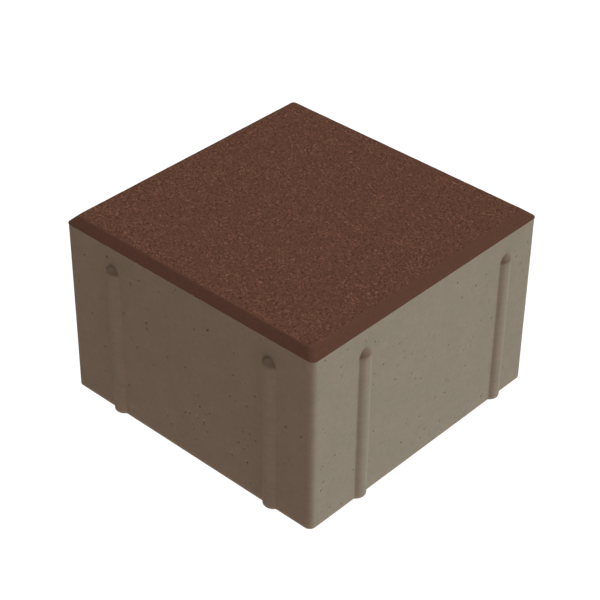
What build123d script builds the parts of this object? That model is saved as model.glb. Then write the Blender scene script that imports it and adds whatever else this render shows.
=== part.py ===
from build123d import *
import os

# A square concrete paving stone of two layers: a grey base block with two upright spacer
# ribs on each wall, and a thin coloured facing layer that carries the bevel round the top.
# Millimetres, +Z up. The origin is the centre of the bedding face, which the stone lies on.

# Driving dimensions of the block
side = 95.0                 # wall to wall, without the ribs
thickness = 60.0            # bedding face to wearing face
corner_radius = 1.8         # upright corners of the walls

# Bevel round the wearing face: the facing layer starts at its lower edge
bevel_width = 2.6           # in plan, on average
bevel_height = 2.2          # down from the wearing face
face_shift = 0.5            # the wearing face lies this far off the middle, towards -X
face_corner_radius = 1.0    # corners of the wearing face, inside the bevel

# Spacer ribs: each is a slice of an upright round bar with a ball for its upper end
rib_reach = 1.3             # how far the crest stands out of the wall
rib_width = 5.0             # along the wall, where the rib meets it
rib_setback = 6.1           # from the bevel's lower edge down to the rib's rounded end
rib_spacing = 60.5          # between the two ribs of one wall
rib_offset_side = 3.5       # pair's middle off the wall's middle, on the walls at +X and -X
rib_offset_front = 1.7      # the same, on the walls at +Y and -Y

# Worked out from the dimensions above
block_height = thickness - bevel_height
rib_radius = (rib_reach**2 + (rib_width / 2)**2) / (2 * rib_reach)
rib_straight = block_height - rib_setback - rib_width / 2   # the ball's outline on the wall is half a circle
rib_axis = side / 2 + rib_reach - rib_radius    # from the stone's middle to the bar's axis


def rounded_square(width, radius, level):
    """A square outline with rounded corners, lying at a height."""
    return Pos(0, 0, level) * RectangleRounded(width, width, radius)


def spacer_rib():
    """One rib on the wall at +X, in line with the wall's middle."""
    bar = Cylinder(rib_radius, rib_straight, align=(Align.CENTER, Align.CENTER, Align.MIN))
    ball = Pos(0, 0, rib_straight) * Sphere(rib_radius)
    return Pos(rib_axis, 0, 0) * (bar + ball)


def rib_pair(offset):
    """The two ribs of the wall at +X, with their middle moved along the wall."""
    rib = spacer_rib()
    return [Pos(0, offset + place, 0) * rib for place in (-rib_spacing / 2, rib_spacing / 2)]


def make_base_block():
    """The grey block, from the bedding face up to the bevel, with two ribs on each wall."""
    block = extrude(rounded_square(side, corner_radius, 0), block_height)
    for turn in range(4):
        offset = rib_offset_side if turn % 2 == 0 else rib_offset_front
        for rib in rib_pair(offset):
            block += Rot(0, 0, -90 * turn) * rib
    return block


def make_facing_layer():
    """The coloured layer on the block: its whole edge is the bevel, widest on the side at +X."""
    lower = rounded_square(side, corner_radius, block_height)
    upper = rounded_square(side - 2 * bevel_width, face_corner_radius, thickness)
    return loft([lower, Pos(-face_shift, 0, 0) * upper], ruled=True)


parts = {
    "base_block": make_base_block(),
    "facing_layer": make_facing_layer(),
}

os.makedirs("parts", exist_ok=True)
for name, shape in parts.items():
    export_step(shape, f"parts/{name}.step")
    print(name, "volume", round(shape.volume), "mm3", "size", shape.bounding_box().size)
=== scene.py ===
import math
from collections import namedtuple

import bmesh
import bpy
import numpy as np
from mathutils import Matrix, Vector, noise
from mathutils.geometry import delaunay_2d_cdt


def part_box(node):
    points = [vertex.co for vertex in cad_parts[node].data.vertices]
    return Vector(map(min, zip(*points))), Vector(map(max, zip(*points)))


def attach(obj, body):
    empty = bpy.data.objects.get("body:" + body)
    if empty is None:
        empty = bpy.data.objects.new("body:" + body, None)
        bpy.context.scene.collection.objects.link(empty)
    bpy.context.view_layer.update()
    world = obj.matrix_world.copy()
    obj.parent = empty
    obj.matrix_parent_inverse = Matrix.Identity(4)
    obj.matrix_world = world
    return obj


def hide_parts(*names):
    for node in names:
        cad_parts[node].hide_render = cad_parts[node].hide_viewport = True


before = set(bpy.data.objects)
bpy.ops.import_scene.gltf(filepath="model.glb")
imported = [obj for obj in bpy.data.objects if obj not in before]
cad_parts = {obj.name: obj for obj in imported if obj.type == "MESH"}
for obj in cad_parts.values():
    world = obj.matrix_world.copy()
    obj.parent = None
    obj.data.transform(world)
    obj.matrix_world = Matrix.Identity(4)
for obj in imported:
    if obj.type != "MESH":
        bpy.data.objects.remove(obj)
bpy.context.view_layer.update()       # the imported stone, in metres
mm = 0.001
hair = 0.01 * mm        # places closer than this count as the same
tiny = 1e-9             # stands in for a length of zero where it divides

# Levels and reaches that the frame gives
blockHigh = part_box("base_block")[1]
layerLow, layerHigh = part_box("facing_layer")
wallAt = layerHigh.x                # middle of the stone to the face of a wall
seamLevel = layerLow.z              # bedding face to the bevel's lower edge
faceLevel = layerHigh.z             # bedding face to the wearing face
ribReach = blockHigh.x - wallAt     # how far a rib's crest stands out of its wall
topEdge = [vertex.co.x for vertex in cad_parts["facing_layer"].data.vertices
           if vertex.co.z > faceLevel - hair]
bevelWidth = wallAt - (max(topEdge) - min(topEdge)) / 2     # in plan, on average
faceShift = (max(topEdge) + min(topEdge)) / 2               # the wearing face lies off the middle along X
print(f"frame: walls at {wallAt / mm:.1f} mm, border at {seamLevel / mm:.1f} mm,",
      f"top at {faceLevel / mm:.1f} mm, bevel {bevelWidth / mm:.1f} mm wide")

# Outline of both layers
outline = {
    "cornerRadius": 1.8 * mm,       # lower edge of the facing layer
    "wallRadius": 2.1 * mm,         # upright corners below it: the facing layer is a small lip there
    "faceCornerRadius": 1.2 * mm,   # corners of the wearing face, a little worn
    "cornerFade": 3.0 * mm,         # how far inside the bevel the mesh rings are square again
    "sharpAngle": 40,               # degrees: edges that turn more than this stay sharp
}


def smoothStep(value, low, high):
    share = np.clip((value - low) / (high - low), 0, 1)
    return share * share * (3 - 2 * share)


def softMin(first, second, blend):
    # the lower of two heights, with the edge between them rounded
    near = np.maximum(blend - np.abs(first - second), 0)
    return np.minimum(first, second) - near * near / (4 * blend)


def softMax(first, second, blend):
    return -softMin(-first, -second, blend)


def latticeNoise(x, y, size, seed):
    # smooth random heights between -1 and 1, one for each square of that size
    spare = 1       # squares past the stone on each side
    count = int(2 * wallAt / size) + 2 * spare + 2
    heights = np.random.default_rng(seed).uniform(-1, 1, (count, count))
    u, v = (x + wallAt) / size + spare, (y + wallAt) / size + spare
    i, j = np.floor(u).astype(int), np.floor(v).astype(int)
    a, b = smoothStep(u - i, 0, 1), smoothStep(v - j, 0, 1)
    near = heights[i, j] * (1 - a) + heights[i + 1, j] * a
    far = heights[i, j + 1] * (1 - a) + heights[i + 1, j + 1] * a
    return near * (1 - b) + far * b


def finishPiece(mesh, node):
    # makes the mesh a piece of the stone that stands for its node
    mesh.shade_smooth()
    mesh.set_sharp_from_angle(angle=math.radians(outline["sharpAngle"]))
    piece = bpy.data.objects.new(mesh.name, mesh)
    bpy.context.scene.collection.objects.link(piece)
    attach(piece, "root")
    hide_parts(node)
    print(f"{piece.name}: {len(mesh.vertices)} points, {len(mesh.polygons)} faces")
    return piece


# Facing layer: brown concrete with the bevel on its edge

facing = {
    "cell": 0.35 * mm,          # mesh spacing over the wearing face
    "bevelRows": 6,             # mesh rows up the bevel
    "arris": 0.26 * mm,         # rounding where the bevel meets the wearing face
    "arrisRows": (-0.5, -0.15, 0.15, 0.5, 1.0),     # mesh rows over that rounding, in its own widths
    "arrisWander": 0.08 * mm,   # how far that edge wanders inwards
    "wanderSize": 1.7 * mm,
    "grainDepth": 0.13 * mm,    # hollows between the sand grains
    "grainSize": 0.80 * mm,
    "fineSize": 0.7,            # size of the finer grains among them, against theirs
    "grainShares": (0.7, 0.3),  # how much of the relief is theirs, and how much the finer ones'
    "grainStart": 0.35 * mm,    # from the bevel's edge to where the grain is full
    "bevelDepth": 0.02 * mm,    # the mould leaves the bevel nearly smooth
    "bevelGrain": 1.6 * mm,     # size of what unevenness is left there
    "pitCount": 420,            # each has a pale speck beside it, a painted highlight
    "pitMargin": 1.35,          # in bevel widths: no pit lies nearer to a wall
    "pitRadius": (0.30 * mm, 0.62 * mm),
    "pitDepth": 0.20 * mm,
    "pitStrength": (0.3, 1.0),
    "faintBias": 1.5,           # above 1, faint pits are the more common
    "pitSpread": 0.5,           # how softly a pit ends, and the painted highlight beside it
    "highlightSpread": 0.4,
    "seed": 11,
}


def facingLines():
    # mesh lines across the stone: close together up the bevel and round its edge, then even
    arris = facing["arris"]
    rows = np.linspace(0, bevelWidth - arris, facing["bevelRows"])
    insets = np.concatenate([rows, bevelWidth + arris * np.array(facing["arrisRows"])])
    inner = wallAt - insets[-1]
    even = np.linspace(-inner, inner, int(round(2 * inner / facing["cell"])) + 1)
    return np.concatenate([insets - wallAt, even[1:-1], (wallAt - insets)[::-1]])


def roundRings(x, y):
    # bends each square ring of mesh lines round the corner radius that the stone has there
    ring = np.maximum(np.abs(x), np.abs(y))
    small = np.minimum(np.abs(x), np.abs(y))
    inset = wallAt - ring
    outer, inner = outline["cornerRadius"], outline["faceCornerRadius"]
    radius = np.where(inset < bevelWidth, outer + (inner - outer) * inset / bevelWidth,
                      inner * (1 - smoothStep(inset, bevelWidth, bevelWidth + outline["cornerFade"])))
    radius = np.maximum(radius, tiny)
    angle = np.clip((small - ring + radius) / radius, 0, 1) * math.pi / 4
    along = ring - radius + radius * np.cos(angle)
    across = np.where(angle > 0, ring - radius + radius * np.sin(angle), small)
    wide = np.abs(x) >= np.abs(y)
    shift = faceShift * np.clip(inset / bevelWidth, 0, 1)
    bentX = np.sign(x) * np.where(wide, along, across) + shift
    bentY = np.sign(y) * np.where(wide, across, along)
    return bentX, bentY, inset


def facingRelief(x, y, inset):
    # height over the bevel's lower edge, and how grainy the surface is: 1 over the face, 0 on the bevel
    seed, size, height = facing["seed"], facing["grainSize"], faceLevel - seamLevel
    wander = facing["arrisWander"] * (0.5 + 0.5 * latticeNoise(x, y, facing["wanderSize"], seed + 1))
    wander = wander * smoothStep(inset, 0, bevelWidth)
    rise = softMin((inset - wander) * height / bevelWidth, height, facing["arris"])
    rise = np.where(inset < hair, 0, rise)
    grainy = smoothStep(inset, bevelWidth + wander, bevelWidth + wander + facing["grainStart"])
    coarse, fine = facing["grainShares"]
    grain = coarse * latticeNoise(x, y, size, seed + 2)
    grain += fine * latticeNoise(x, y, size * facing["fineSize"], seed + 3)
    rise -= facing["grainDepth"] * grainy * (0.5 - 0.5 * grain)
    uneven = 0.5 - 0.5 * latticeNoise(x, y, facing["bevelGrain"], seed + 4)
    rise -= facing["bevelDepth"] * (1 - grainy) * uneven * smoothStep(inset, 0, bevelWidth / 4)
    return rise, grainy


def dab(x, y, place, spread):
    # 1 at the place, fading away round it
    return np.exp(-((x - place[0]) ** 2 + (y - place[1]) ** 2) / spread)


def scatterPits(x, y):
    # how much of a pit and of the painted highlight beside it there is at each point
    rng = np.random.default_rng(facing["seed"])
    pitted, pitHighlight = np.zeros_like(x), np.zeros_like(x)
    reach = wallAt - facing["pitMargin"] * bevelWidth
    for _ in range(facing["pitCount"]):
        place = rng.uniform(-reach, reach, 2)
        radius = rng.uniform(*facing["pitRadius"])
        turn = rng.uniform(0, 2 * math.pi)
        beside = place + radius * np.array([math.cos(turn), math.sin(turn)])
        strength = rng.uniform(*facing["pitStrength"]) ** facing["faintBias"]
        pitted = np.maximum(pitted, strength * dab(x, y, place, facing["pitSpread"] * radius**2))
        pitHighlight = np.maximum(pitHighlight, strength * dab(x, y, beside, facing["highlightSpread"] * radius**2))
    return pitted, pitHighlight


def makeFacingLayer():
    lines = facingLines()
    x, y, inset = roundRings(*np.meshgrid(lines, lines, indexing="ij"))
    rise, grainy = facingRelief(x, y, inset)
    pitted, pitHighlight = scatterPits(x, y)
    rise -= facing["pitDepth"] * pitted
    points = np.stack([x, y, seamLevel + rise], axis=-1).reshape(-1, 3)
    index = np.arange(x.size).reshape(x.shape)
    quads = np.stack([index[:-1, :-1], index[1:, :-1], index[1:, 1:], index[:-1, 1:]], axis=-1).reshape(-1, 4)
    rim = [*index[:, 0], *index[-1, 1:], *index[-2::-1, -1], *index[0, -2:0:-1]]
    underside = [int(corner) for corner in rim[::-1]]
    mesh = bpy.data.meshes.new("facing_layer_cast")
    mesh.from_pydata(points.tolist(), [], quads.tolist() + [underside])
    for name, values in {"grainy": grainy, "pitted": pitted, "paleGrainAndPitHighlight": pitHighlight}.items():
        mesh.attributes.new(name, "FLOAT", "POINT").data.foreach_set("value", values.ravel())
    return finishPiece(mesh, "facing_layer")


# Base block: grey concrete with two spacer ribs on each wall

block = {
    "cell": 1.1 * mm,             # mesh spacing over a wall
    "cornerColumns": 4,           # mesh columns round half of an upright corner
    "footArris": 0.25 * mm,       # worn edge round the bedding face
    "footRows": (0, 0.3, 1.0),    # mesh rows over that edge, as shares of it
    "topRows": 5,                 # mesh rows between the ribs and the facing layer
    "waveDepth": 0.05 * mm,       # walls are never quite flat
    "waveSize": 14 * mm,
    "waveShift": (7.3, 3.1, 5.7),   # moves the waves to another place for each seed
    "seamHold": 3 * mm,           # over this height below the facing layer the walls run true again
    "footCell": 2.5 * mm,         # mesh spacing over the bedding face
    "footDepth": 0.15 * mm,       # its roughness
    "footGrain": 3.0 * mm,
    "weld": 0.001 * mm,           # points closer than this become one where two walls meet
    "sameCorner": 1e-6,           # the same within a wall, in millimetres
    "seed": 5,
}

ribs = {
    "width": 5.0 * mm,            # along the wall, where the rib meets it
    "setback": 6.1 * mm,          # from the bevel's lower edge down to the rounded end
    "spacing": 60.5 * mm,         # between the two ribs of one wall
    "offsets": (3.5 * mm, 1.7 * mm),    # pair's middle off the wall's middle: sides, front and back
    "columns": 20,                # mesh columns over a rib
    "tipRows": 16,                # mesh rows up the rounded end
    "tipGap": 0.2 * mm,           # the rows below end this far under it, and its own this far over it
    "root": 0.25 * mm,            # hollow rounding where the rib meets the wall
    "rootLines": (-0.4, -0.2, 0.0, 0.2, 0.4, 0.7),      # mesh lines beside that place, millimetres
    "arcClear": (0.08 * mm, 0.10 * mm),     # other mesh points stay this far inside and outside them
    "dustAndShade": (1.0, 0.8, 0.9, 0.9),          # brown dust and painted shade on the rounded ends of each wall
    "dustShadeLean": (-0.6, 0.2, 0.3, -0.4),    # how much more of it lies on one side of them: the painted shade is heavier there
    "dustShadeLevel": (-0.5 * mm, 1.0 * mm),    # it fades in between these levels about their foot
    "dustShadeRise": (-0.05 * mm, 0.02 * mm),   # and ends where the rib meets the wall
}

ribRadius = (ribReach**2 + (ribs["width"] / 2) ** 2) / (2 * ribReach)
tipTop = seamLevel - ribs["setback"]
tipBase = tipTop - ribs["width"] / 2        # the rounded end is half a circle on the wall


def ribPlaces(turn):
    middle = ribs["offsets"][turn % 2]
    return middle - ribs["spacing"] / 2, middle + ribs["spacing"] / 2


def ribHeight(along, level, places):
    # how far the ribs' surface stands out of the wall plane, below zero where there is no rib
    above = np.maximum(level - tipBase, 0)
    across = np.min([np.abs(along - place) for place in places], axis=0)
    return np.sqrt(np.maximum(ribRadius**2 - across**2 - above**2, 0)) - (ribRadius - ribReach)


def outlinePoint(along, out, turn):
    # a place on the outline, counted from the middle of a wall round half of each corner
    radius = outline["wallRadius"]
    straight = wallAt - radius
    angle = np.maximum(np.abs(along) - straight, 0) / radius
    x = straight + (radius + out) * np.cos(angle)
    y = np.sign(along) * (np.minimum(np.abs(along), straight) + (radius + out) * np.sin(angle))
    cosine, sine = math.cos(-turn * math.pi / 2), math.sin(-turn * math.pi / 2)
    return x * cosine - y * sine, x * sine + y * cosine


def waves(points):
    # smooth random heights in space, so that they agree where two walls meet
    shift = Vector([block["seed"] * step for step in block["waveShift"]])
    return np.array([noise.noise(Vector(point) / block["waveSize"] + shift) for point in points])


def wallColumns(places):
    # mesh columns of a wall: round half of each corner, close together over the ribs, then even
    radius = outline["wallRadius"]
    straight = wallAt - radius
    corner = straight + radius * np.linspace(0, math.pi / 4, block["cornerColumns"] + 1)
    beside = ribs["width"] / 2 + np.array(ribs["rootLines"]) * mm
    reach, crest = beside[-1], beside[0]
    columns = [-corner[::-1], corner]
    edges = [-straight]
    for place in places:
        columns.append(place + np.linspace(-crest, crest, ribs["columns"] + 1))
        columns += [place + beside[1:], place - beside[1:]]
        edges += [place - reach, place + reach]
    edges.append(straight)
    for start, end in zip(edges[::2], edges[1::2]):
        steps = max(2, int(round((end - start) / block["cell"])))
        columns.append(np.linspace(start, end, steps + 1)[1:-1])
    return np.sort(np.concatenate(columns))


def wallRows():
    # mesh rows up a wall, close together at the foot and up the ribs' rounded ends
    arris, gap = block["footArris"], ribs["tipGap"]
    foot = arris * np.array(block["footRows"])
    body = np.linspace(arris, tipBase - gap, int(tipBase / block["cell"]))[1:]
    tip = np.linspace(tipBase, tipTop + gap, ribs["tipRows"] + 1)
    top = np.linspace(tipTop + gap, seamLevel, block["topRows"] + 1)[1:]
    return np.concatenate([foot, body, tip, top])


pores = {
    "count": 140,                 # on each wall
    "radius": (0.12 * mm, 0.34 * mm),
    "smallBias": 1.8,             # above 1, small pores are the more common
    "stretch": 1.9,               # the longest pore against its width
    "lean": 0.5,                  # how far they usually lean from upright, in radians
    "depth": 0.6,                 # against its radius
    "rings": ((1.0, 0.0), (0.6, 0.7)),      # rim and slope: share of the radius, share of the depth
    "corners": 8,
    "clear": 0.5 * mm,            # least wall between two pores
    "margin": 1.3 * mm,           # least wall to an edge
    "meshClear": 1.3,             # other mesh points stay this many lengths from its middle
}
Pore = namedtuple("Pore", "along level width length lean")


def placePores(rng, places):
    # scattered over the wall, clear of each other, the edges and the ribs
    low, high = pores["radius"]
    reach = wallAt - outline["wallRadius"] - pores["margin"]
    made = []
    while len(made) < pores["count"]:
        along = rng.uniform(-reach, reach)
        level = rng.uniform(pores["margin"], seamLevel - pores["margin"])
        width = low + (high - low) * rng.uniform() ** pores["smallBias"]
        length = width * rng.uniform(1, pores["stretch"])
        lean = rng.normal(0, pores["lean"])
        onRib = min(abs(along - place) for place in places) < ribs["width"] / 2 + ribs["root"] + length
        near = any(math.hypot(along - other.along, level - other.level)
                   < length + other.length + pores["clear"] for other in made)
        if not (near or (onRib and level < tipTop + length)):
            made.append(Pore(along, level, width, length, lean))
    return made


def poreRings(pore):
    # middle, rim and slope of one pore: along, level, share of its depth, and that share of its radius
    points = [(pore.along, pore.level, 1.0, pore.width)]
    for size, deep in pores["rings"]:
        for corner in range(pores["corners"]):
            angle = 2 * math.pi * corner / pores["corners"]
            u, v = size * pore.width * math.cos(angle), size * pore.length * math.sin(angle)
            along = pore.along + u * math.cos(pore.lean) - v * math.sin(pore.lean)
            level = pore.level + u * math.sin(pore.lean) + v * math.cos(pore.lean)
            points.append((along, level, deep, deep * pore.width))
    return points


def triangulate(points, loop=None):
    # triangles between points in millimetres, only inside the loop if one is given
    faces, kind = ([loop], 1) if loop else ([], 0)
    corners = [Vector(point) for point in points]
    found = delaunay_2d_cdt(corners, [], faces, kind, block["sameCorner"])
    return found[0], [origins[0] for origins in found[3]], found[2]


def makeWall(turn):
    # one wall with half of each corner: points, triangles, and how deep in a pore each point is
    places = ribPlaces(turn)
    rng = np.random.default_rng(block["seed"] + turn)
    grid = np.stack(np.meshgrid(wallColumns(places), wallRows(), indexing="ij"), axis=-1).reshape(-1, 2)
    keep = np.ones(len(grid), bool)
    added = []
    for place in places:        # the rounded end's own outline
        angles = np.linspace(0, math.pi, 2 * ribs["tipRows"] + 1)[1:-1]
        arcs = ribs["width"] / 2 + np.array(ribs["rootLines"][:-1]) * mm
        inside, outside = ribs["arcClear"]
        away = np.hypot(grid[:, 0] - place, grid[:, 1] - tipBase)
        keep &= (away < arcs[0] - inside) | (away > arcs[-1] + outside) | (grid[:, 1] <= tipBase + tiny)
        added += [(place + radius * math.cos(angle), tipBase + radius * math.sin(angle), 0, 0)
                  for radius in arcs for angle in angles]
    for pore in placePores(rng, places):
        away = np.hypot(grid[:, 0] - pore.along, grid[:, 1] - pore.level)
        keep &= away > pores["meshClear"] * pore.length
        added += poreRings(pore)
    points = np.concatenate([np.pad(grid[keep], ((0, 0), (0, 2))), added])
    corners, source, triangles = triangulate(points[:, :2] / mm)
    along, level = np.array([tuple(corner) for corner in corners]).T * mm
    return along, level, points[source, 2], points[source, 3], triangles


def shapeWall(along, level, sunk, turn):
    # the wall's points in space, and how much brown dust and painted shade lies on each
    places = ribPlaces(turn)
    rib = ribHeight(along, level, places)
    out = softMax(0, rib, ribs["root"])
    worn = 1 - np.clip(level / block["footArris"], 0, 1)
    out = out - block["footArris"] * (1 - np.sqrt(1 - worn**2))
    x, y = outlinePoint(along, 0, turn)
    wave = 0.5 - 0.5 * waves(np.stack([x, y, level], axis=-1))
    wave = wave * smoothStep(level, seamLevel, seamLevel - block["seamHold"])
    out = out - block["waveDepth"] * wave - pores["depth"] * sunk
    x, y = outlinePoint(along, out, turn)
    across = along - np.where(np.abs(along - places[0]) < np.abs(along - places[1]), *places)
    # brown dust and painted shade on the ribs' rounded ends, heavier on one side
    dustShade = ribs["dustAndShade"][turn] * (1 + ribs["dustShadeLean"][turn] * across / (ribs["width"] / 2))
    dustShade = dustShade * smoothStep(level - tipBase, *ribs["dustShadeLevel"]) * smoothStep(rib, *ribs["dustShadeRise"])
    return np.stack([x, y, level], axis=-1), np.clip(dustShade, 0, 1)


def orderLoop(edges):
    # the vertices of a closed loop of edges, one after the other
    links = {}
    for edge in edges:
        for vertex in edge.verts:
            links.setdefault(vertex, []).append(edge.other_vert(vertex))
    start = edges[0].verts[0]
    loop, last, here = [start], None, start
    while True:
        following = [vertex for vertex in links[here] if vertex is not last]
        last, here = here, following[0]
        if here is start:
            return loop
        loop.append(here)


def closeEnds(shell):
    # the bedding face below, rough, and the flat border with the facing layer above
    openEdges = [edge for edge in shell.edges if edge.is_boundary]
    upper = [edge for edge in openEdges if edge.verts[0].co.z > seamLevel / 2]
    lower = [edge for edge in openEdges if edge.verts[0].co.z <= seamLevel / 2]
    bmesh.ops.holes_fill(shell, edges=upper, sides=0)
    loop = orderLoop(lower)
    rim = [vertex.co.xy / mm for vertex in loop]
    reach = wallAt - block["footCell"]
    steps = np.arange(-reach, reach + block["footCell"] / 2, block["footCell"]) / mm
    inside = [(x, y) for x in steps for y in steps]
    corners, source, triangles = triangulate(rim + inside, list(range(len(rim))))
    made = []
    for corner, origin in zip(corners, source):
        if origin < len(rim):
            made.append(loop[origin])
            continue
        place = Vector((corner.x * mm, corner.y * mm, 0))
        place.z = block["footDepth"] * (0.5 + 0.5 * noise.noise(place / block["footGrain"]))
        made.append(shell.verts.new(place))
    for triangle in triangles:
        shell.faces.new([made[corner] for corner in triangle])


def makeBaseBlock():
    shell = bmesh.new()
    layers = {name: shell.verts.layers.float.new(name) for name in ("inPore", "tipDustAndShade")}
    for turn in range(4):
        along, level, inPore, sunk, triangles = makeWall(turn)
        points, dustShade = shapeWall(along, level, sunk, turn)
        made = [shell.verts.new(point) for point in points]
        for vertex, deep, brown in zip(made, inPore, dustShade):
            vertex[layers["inPore"]] = deep
            vertex[layers["tipDustAndShade"]] = brown
        for triangle in triangles:
            shell.faces.new([made[corner] for corner in triangle])
    bmesh.ops.remove_doubles(shell, verts=shell.verts, dist=block["weld"])
    closeEnds(shell)
    bmesh.ops.recalc_face_normals(shell, faces=shell.faces)
    mesh = bpy.data.meshes.new("base_block_cast")
    shell.to_mesh(mesh)
    shell.free()
    return finishPiece(mesh, "base_block")


# Shader helpers

class Signal:       # one output of a node; sums and products of it add Math nodes
    def __init__(self, recipe, socket):
        self.recipe = recipe
        self.socket = socket

    def math(self, operation, first, second):
        return self.recipe.node("ShaderNodeMath", {"operation": operation}, {0: first, 1: second})

    def __add__(self, other):
        return self.math("ADD", self, other)

    def __sub__(self, other):
        return self.math("SUBTRACT", self, other)

    def __mul__(self, other):
        return self.math("MULTIPLY", self, other)

    def __radd__(self, other):
        return self.math("ADD", other, self)

    def __rsub__(self, other):
        return self.math("SUBTRACT", other, self)

    def __rmul__(self, other):
        return self.math("MULTIPLY", other, self)


class Recipe:       # a material and its nodes
    def __init__(self, name):
        self.material = bpy.data.materials.new(name)
        self.material.use_nodes = True
        self.tree = self.material.node_tree
        self.tree.nodes.clear()

    def node(self, kind, settings=(), inputs=(), output=0):
        made = self.tree.nodes.new(kind)
        for name, value in dict(settings).items():
            setattr(made, name, value)
        for name, value in dict(inputs).items():
            if isinstance(value, Signal):
                self.tree.links.new(value.socket, made.inputs[name])
            else:
                made.inputs[name].default_value = value
        return None if output is None else Signal(self, made.outputs[output])

    def place(self):                                # where a point is on the stone, in millimetres
        metres = self.node("ShaderNodeTexCoord", output="Object")
        return self.node("ShaderNodeVectorMath", {"operation": "SCALE"}, {0: metres, "Scale": 1 / mm})

    def axes(self, vector):
        return [self.node("ShaderNodeSeparateXYZ", {}, {0: vector}, axis) for axis in range(3)]

    def cloud(self, vector, size, detail):          # soft noise, 0 to 1
        return self.node("ShaderNodeTexNoise", {}, {"Vector": vector, "Scale": 1 / size, "Detail": detail})

    def fade(self, value, low, high):               # 0 at the low value, 1 at the high one
        return self.node("ShaderNodeMapRange", {"interpolation_type": "SMOOTHSTEP"},
                         {"Value": value, "From Min": low, "From Max": high})

    def stored(self, name):                         # a value that the mesh carries
        return self.node("ShaderNodeAttribute", {"attribute_name": name}, output="Fac")

    def mix(self, share, first, second, kind="MIX"):        # colours
        return self.node("ShaderNodeMix", {"data_type": "RGBA", "blend_type": kind},
                         {0: share, 6: first, 7: second}, 2)

    def surface(self, color, roughness, height, depth, specular):
        bump = self.node("ShaderNodeBump", {}, {"Height": height, "Distance": depth, "Strength": 1.0})
        shader = self.node("ShaderNodeBsdfPrincipled", {}, {
            "Base Color": color, "Roughness": roughness, "Normal": bump, "Specular IOR Level": specular})
        return self.output(shader)

    def output(self, shader):
        self.node("ShaderNodeOutputMaterial", {}, {"Surface": shader}, None)
        print(f"{self.material.name}: {len(self.tree.nodes)} nodes")
        return self.material


# Finishes, with their sizes in millimetres

facingFinish = {
    # dark grains, partly their own colour and partly painted shade in the bump's hollows
    "darkGrainAndShade": (0.0460, 0.0192, 0.0119, 1),
    "brown": (0.0998, 0.0440, 0.0283, 1),
    "paleGrainAndPitHighlight": (0.178, 0.0764, 0.0485, 1),
    "speck": (0.32, 0.140, 0.088, 1),       # painted highlight: the pale speck beside each pit
    "hollow": (0.036, 0.016, 0.010, 1),     # painted shade in the pit
    "speckShare": 0.9,          # how fully those two cover the rest
    "grainSize": 0.56,
    "grainDetail": 0.6,
    "grainStretch": 1.35,       # the grains lie a little longer from corner to corner
    "grainTurn": (0.6, 0.5, 0.4),           # keeps the noise's own grid from showing
    "patchSize": 3.92,
    "patchFade": (0.3, 0.7),
    "patchTone": 0.3,           # how far a patch is darker or paler
    "contrast": 2.75,           # between dark and pale grains, on average
    "contrastSwing": 0.4,       # how much it changes from patch to patch
    "bevelContrast": 0.35,      # how much of it is left on the bevel
    "bevelBump": 0.1,
    "bevelTint": (0.975, 0.975, 0.985, 1),  # the smooth bevel is a little darker
    "roughness": (0.90, 0.08),  # least, and what the patches add
    "bumpDepth": 0.10 * mm,
    "shine": 0.05,
}


def makeFacingFinish():
    look = facingFinish
    recipe = Recipe("facing_concrete_brown")
    grainy, place = recipe.stored("grainy"), recipe.place()
    x, y, z = recipe.axes(place)
    diagonal = math.sqrt(0.5)
    lain = recipe.node("ShaderNodeCombineXYZ", {}, {
        0: (y - x) * (diagonal / look["grainStretch"]), 1: (x + y) * diagonal, 2: z})
    lain = recipe.node("ShaderNodeVectorRotate", {"rotation_type": "EULER_XYZ"},
                       {"Vector": lain, "Rotation": look["grainTurn"]})
    grains = recipe.cloud(lain, look["grainSize"], look["grainDetail"])
    patches = recipe.cloud(place, look["patchSize"], 1.0)

    def lessOnBevel(share):     # 1 over the face, only this share on the bevel
        return share + (1 - share) * grainy

    swing = look["contrastSwing"]
    gain = lessOnBevel(look["bevelContrast"]) * look["contrast"]
    gain = gain * (1 - swing / 2 + swing * recipe.fade(patches, *look["patchFade"]))
    # darker where the bump is low and paler where it is high: partly the grains' own colour, partly painted
    # shade in the hollows
    tone = (grains - 0.5) * gain + (patches - 0.5) * look["patchTone"]
    color = recipe.mix(recipe.fade(tone, 0.0, 1.0), look["brown"], look["paleGrainAndPitHighlight"])
    color = recipe.mix(recipe.fade(tone, 0.0, -1.0), color, look["darkGrainAndShade"])
    # painted highlight beside each pit, and painted shade in the pit
    color = recipe.mix(recipe.stored("paleGrainAndPitHighlight") * look["speckShare"], color, look["speck"])
    color = recipe.mix(recipe.stored("pitted") * look["speckShare"], color, look["hollow"])
    color = recipe.mix(1 - grainy, color, look["bevelTint"], "MULTIPLY")
    least, more = look["roughness"]
    return recipe.surface(color, least + more * patches, grains * lessOnBevel(look["bevelBump"]),
                          look["bumpDepth"], look["shine"])


blockFinish = {
    "grey": (0.380, 0.328, 0.250, 1),
    "blotch": (0.358, 0.318, 0.241, 1),
    "blotchSize": 7.0,
    "blotchFade": (0.4, 0.6),
    "streak": (0.94, 0.94, 0.94, 1),        # tint of the faint streaks that the mould leaves
    "streakSlope": 0.5,
    "streakSize": (2.4, 0.8),               # along and across
    "streakFade": (0.4, 0.65),
    # painted shade inside the wall pores
    "pore": (0.195, 0.167, 0.126, 1),
    "tip": (0.229, 0.153, 0.104, 1),        # brown dust and painted shade on the ribs' rounded ends
    "fineSize": 0.5,
    "roughness": (0.88, 0.08),              # least, and what the fine grain adds
    "bumpDepth": 0.04 * mm,
    "shine": 0.25,
}


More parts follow.
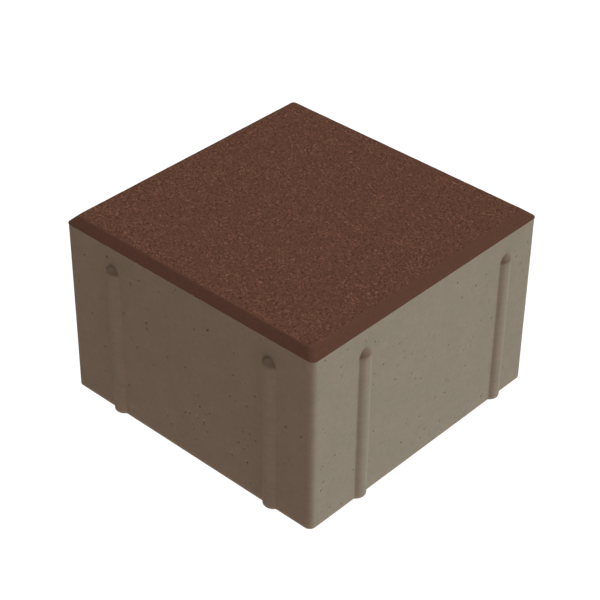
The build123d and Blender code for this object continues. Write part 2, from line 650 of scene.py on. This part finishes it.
def makeBlockFinish():
    look = blockFinish
    recipe = Recipe("base_concrete_grey")
    place = recipe.place()
    blotches = recipe.fade(recipe.cloud(place, look["blotchSize"], 3.0), *look["blotchFade"])
    color = recipe.mix(blotches, look["grey"], look["blotch"])
    x, y, z = recipe.axes(place)
    slope, (length, width) = look["streakSlope"], look["streakSize"]
    along, across = x - y - slope * z, z + slope * (x - y)
    drag = recipe.node("ShaderNodeCombineXYZ", {}, {0: along * (1 / length), 1: across * (1 / width)})
    streaks = recipe.fade(recipe.cloud(drag, 1.0, 1.0), *look["streakFade"])
    color = recipe.mix(streaks, color, look["streak"], "MULTIPLY")
    # brown dust and painted shade on the ribs' rounded ends
    color = recipe.mix(recipe.stored("tipDustAndShade"), color, look["tip"])
    # darker by depth inside each pore: painted shade
    color = recipe.mix(recipe.stored("inPore"), color, look["pore"])
    fine = recipe.cloud(place, look["fineSize"], 3.0)
    least, more = look["roughness"]
    return recipe.surface(color, least + more * fine, fine, look["bumpDepth"], look["shine"])


# Studio: a glowing pale floor, broad light overhead, softer light from the right, and the floor's bounce

studio = {
    "floorRadius": 8.0,
    "floorSides": 96,
    "floorColor": (0.08, 0.08, 0.08, 1),
    "floorGlow": 1.0,
    "airGlow": 0.0,         # the air gives no light
    "lights": {             # the side that each comes from, and its spread in degrees
        "overhead_light": {
            "side": (0.0, 0.08, 1.0), "spread": 25, "color": (1.0, 1.0, 1.0), "strength": 3.03},
        "side_light": {
            "side": (1.0, 0.8, 0.35), "spread": 50, "color": (0.745, 0.943, 1.0), "strength": 1.42},
        "fill_light": {
            "side": (1.0, -0.2, 0.15), "spread": 20, "color": (1.0, 0.82, 0.80), "strength": 0.24},
        "ground_light": {
            "side": (0.0, 0.0, -1.0), "spread": 100, "color": (1.0, 0.784, 0.708), "strength": 4.54},
    },
}


def makeFloor():
    mesh = bpy.data.meshes.new("studio_floor")
    disc = bmesh.new()
    bmesh.ops.create_circle(disc, cap_ends=True, radius=studio["floorRadius"], segments=studio["floorSides"])
    disc.to_mesh(mesh)
    disc.free()
    floor = bpy.data.objects.new("studio_floor", mesh)
    bpy.context.scene.collection.objects.link(floor)
    recipe = Recipe("floor_paper")
    diffuse = recipe.node("ShaderNodeBsdfDiffuse", {}, {"Color": studio["floorColor"]})
    glow = recipe.node("ShaderNodeEmission", {}, {"Strength": studio["floorGlow"]})
    mesh.materials.append(recipe.output(recipe.node("ShaderNodeAddShader", {}, {0: diffuse, 1: glow})))
    floor.visible_diffuse = floor.visible_glossy = False    # the ground light is its bounce
    floor.visible_shadow = False


def makeLight(name, side, spread, color, strength):
    lamp = bpy.data.lights.new(name, "SUN")
    lamp.angle = math.radians(spread)
    lamp.color = color
    lamp.energy = strength
    light = bpy.data.objects.new(name, lamp)
    light.rotation_mode = "QUATERNION"
    light.rotation_quaternion = Vector(side).to_track_quat("Z", "Y")
    bpy.context.scene.collection.objects.link(light)


def makeStudio():
    makeFloor()
    for name, light in studio["lights"].items():
        makeLight(name, **light)
    world = bpy.data.worlds.new("studio_air")
    world.use_nodes = True
    world.node_tree.nodes["Background"].inputs["Strength"].default_value = studio["airGlow"]
    bpy.context.scene.world = world
    bpy.context.scene.view_settings.view_transform = "Standard"
    print(f"studio: {len(studio['lights'])} lights")


# Camera at the photograph's viewing angle

cameraView = {
    "place": (286.728 * mm, -315.055 * mm, 337.604 * mm),
    "azimuth": 42.369,      # degrees round from the -Y side
    "elevation": 35.876,
    "roll": 0.718,
    "lens": 107.393,        # millimetres
    "sensor": 36.0,
    "nearest": 10 * mm,     # what is nearer isn't drawn
}


def makeCamera():
    data = bpy.data.cameras.new("studio_camera")
    data.sensor_width = cameraView["sensor"]
    data.lens = cameraView["lens"]
    data.clip_start = cameraView["nearest"]
    camera = bpy.data.objects.new("studio_camera", data)
    azimuth, elevation, roll = (math.radians(cameraView[key]) for key in ("azimuth", "elevation", "roll"))
    back = Vector((math.sin(azimuth) * math.cos(elevation), -math.cos(azimuth) * math.cos(elevation),
                   math.sin(elevation)))
    level = Vector((math.cos(azimuth), math.sin(azimuth), 0))
    right = Matrix.Rotation(roll, 3, back) @ level
    turned = Matrix((right, back.cross(right), back)).transposed()
    camera.matrix_world = Matrix.Translation(cameraView["place"]) @ turned.to_4x4()
    bpy.context.scene.collection.objects.link(camera)
    bpy.context.scene.camera = camera
    print(f"camera: lens {data.lens:.0f} mm, {Vector(cameraView['place']).length:.2f} m away")


layer = makeFacingLayer()
layer.data.materials.append(makeFacingFinish())
stone = makeBaseBlock()
stone.data.materials.append(makeBlockFinish())
makeStudio()
makeCamera()
bpy.context.view_layer.update()
